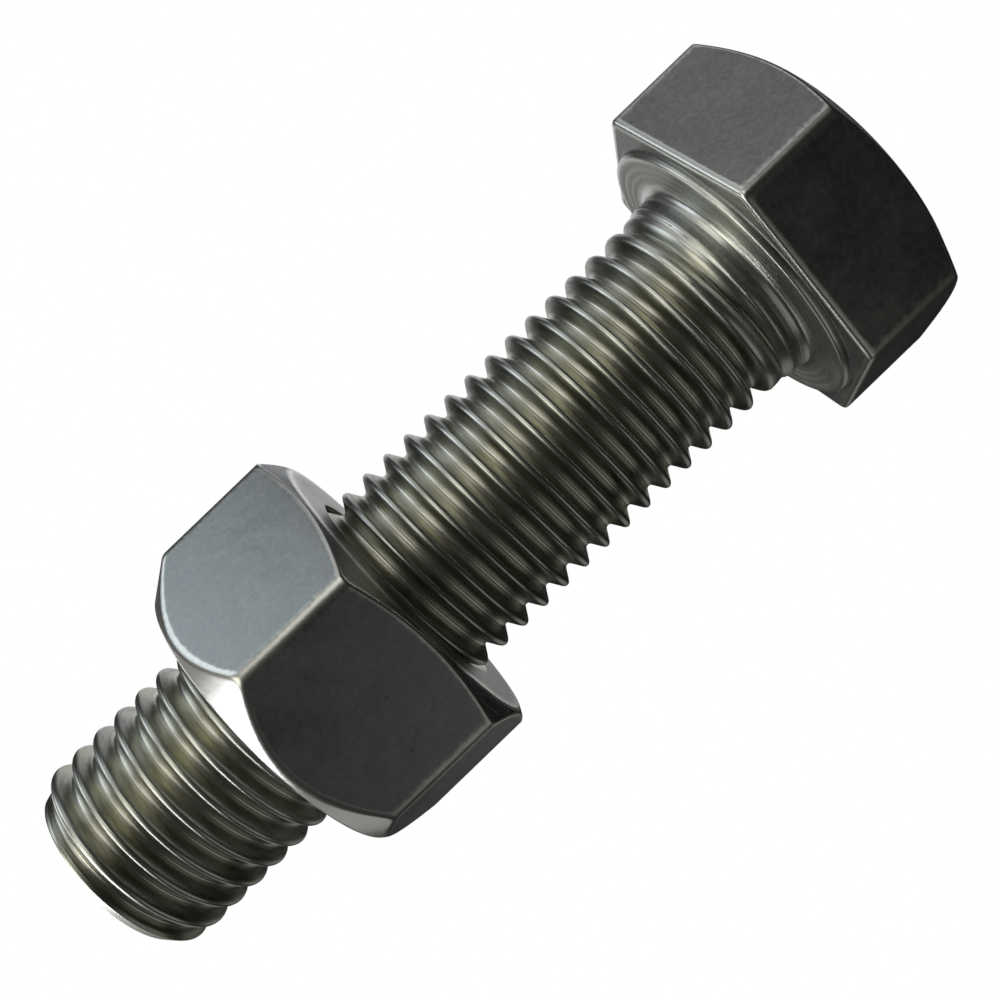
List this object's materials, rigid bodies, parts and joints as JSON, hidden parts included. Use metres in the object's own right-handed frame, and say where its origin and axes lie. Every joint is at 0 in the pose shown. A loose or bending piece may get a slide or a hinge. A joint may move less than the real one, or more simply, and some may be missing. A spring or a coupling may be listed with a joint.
{
  "type": "hex bolt with nut",
  "caption": "Steel hex bolt with a washer face under its head, a coarse right-hand thread along the shank and a plain hex nut wound part way along it.",
  "frame": {"origin": "on the bolt's axis, in the bearing plane under the head", "axes": "+Z along the bolt's axis towards its point, so it stands on the top of its head; a corner of both hexagons points along +X and two flats face +Y and -Y"},
  "size_m": [0.0344, 0.03, 0.0872],
  "materials": {
    "bolt_steel": "dull bare steel with a light oil film",
    "nut_steel": "dull bare steel, slightly lighter and cooler than the bolt",
    "ring_steel": "plain, out of sight"
  },
  "bodies": {
    "bolt": {"bolt": "bolt_steel"},
    "travel": {"travel_ring": "ring_steel"},
    "nut": {"nut": "nut_steel"}
  },
  "joints": [
    {"name": "nut_travel", "type": "slide", "parent": "bolt", "child": "travel", "axis": [0, 0, 1], "range_m": [-0.035, 0.03625]},
    {"name": "nut_turn", "type": "hinge", "parent": "travel", "child": "nut", "pos_m": [0, 0, 0.0476], "axis": [0, 0, 1], "range_deg": [-5040, 5220]}
  ],
  "couplings": [
    {"joint": "nut_travel", "follows": "nut_turn", "m_per_rad": 0.00039789}
  ]
}
